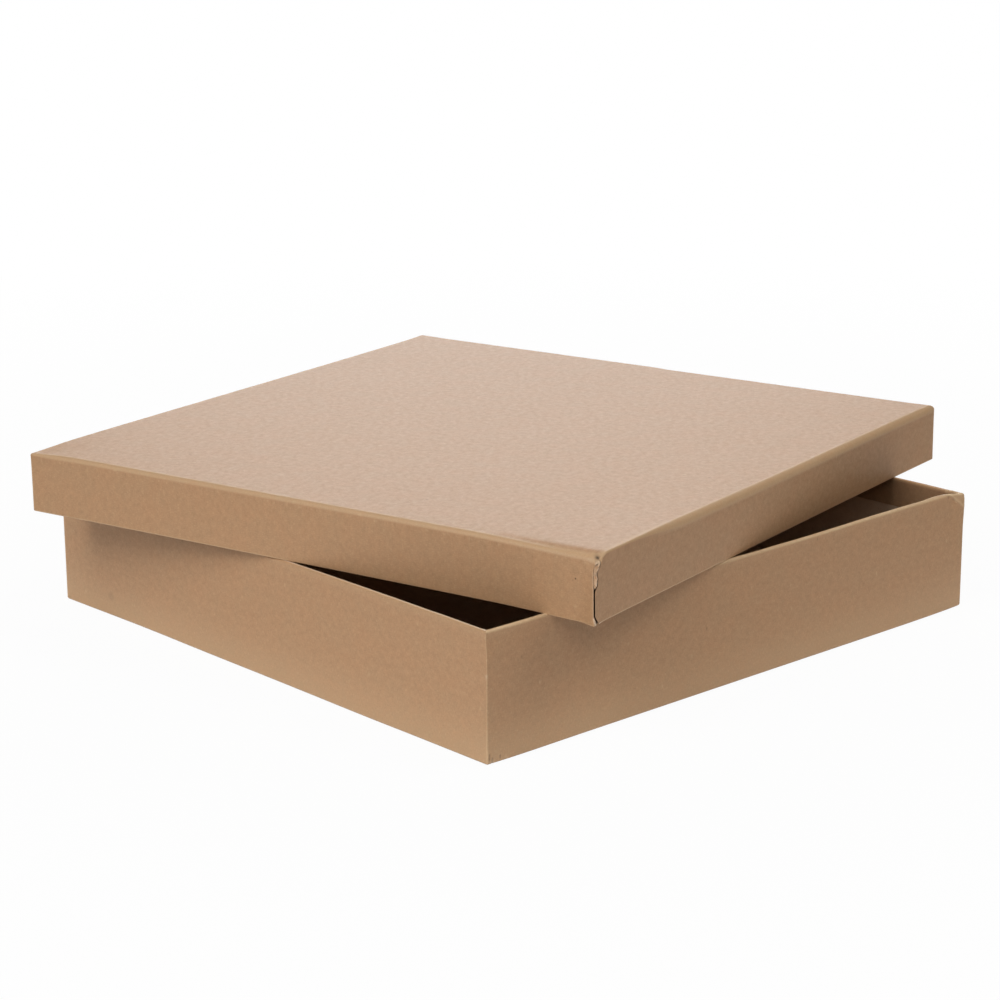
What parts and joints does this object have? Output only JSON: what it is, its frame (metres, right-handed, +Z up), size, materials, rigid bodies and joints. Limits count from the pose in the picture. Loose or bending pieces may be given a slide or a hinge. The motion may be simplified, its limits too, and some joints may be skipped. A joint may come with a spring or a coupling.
{
  "type": "kraft box with lift-off lid",
  "caption": "Shallow square board box covered in brown kraft paper, with a lift-off lid that lies turned on the base's rim.",
  "frame": {"origin": "centre of the base's underside, on the surface that the box stands on", "axes": "+Z up; +X along the base's right-hand side in the picture, away from its front corner; +Y along its left-hand side, away from that corner"},
  "size_m": [0.406, 0.4064, 0.091],
  "materials": {
    "kraft_paper": "matt unbleached kraft paper",
    "brown_board": "matt brown board"
  },
  "bodies": {
    "root": {"base_board": "brown_board", "base_wrap": "kraft_paper", "base_bottom_sheet": "kraft_paper", "lid_board": "brown_board", "lid_wrap": "kraft_paper"}
  },
  "joints": []
}
